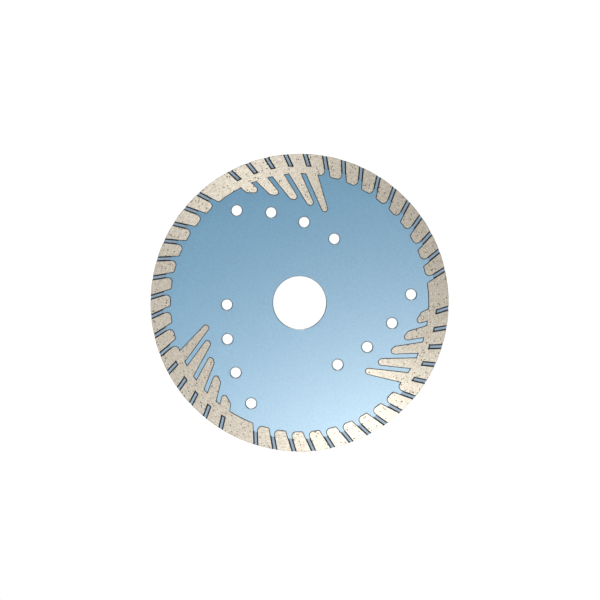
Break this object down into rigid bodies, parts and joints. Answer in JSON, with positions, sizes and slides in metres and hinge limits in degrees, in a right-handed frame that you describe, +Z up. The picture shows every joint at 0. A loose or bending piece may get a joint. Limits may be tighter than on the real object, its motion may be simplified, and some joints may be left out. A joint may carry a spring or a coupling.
{
  "type": "diamond blade",
  "caption": "Turbo diamond blade for an angle grinder: a flat steel core with cooling holes and a grooved sintered rim with inward protective teeth on both faces.",
  "frame": {"origin": "centre of the bore, at half the core's thickness", "axes": "the blade stands on its edge: +Y along the spin axis from the front face to the back face, the front face looks towards -Y, +Z up"},
  "size_m": [0.125, 0.0026, 0.1251],
  "materials": {
    "painted_steel": "fine-grained metallic light blue paint on steel",
    "sintered_bond": "ground beige-grey sintered metal bond, with blue paint left in the grooves",
    "diamond_crystal": "dark yellow-grey synthetic diamond"
  },
  "bodies": {
    "root": {"steel_core": "painted_steel", "turbo_rim": "sintered_bond", "front_teeth_1": "sintered_bond", "front_teeth_2": "sintered_bond", "front_teeth_3": "sintered_bond", "back_teeth_1": "sintered_bond", "back_teeth_2": "sintered_bond", "back_teeth_3": "sintered_bond", "diamonds_front": "diamond_crystal", "diamonds_back": "diamond_crystal", "diamonds_edge": "diamond_crystal"}
  },
  "joints": []
}
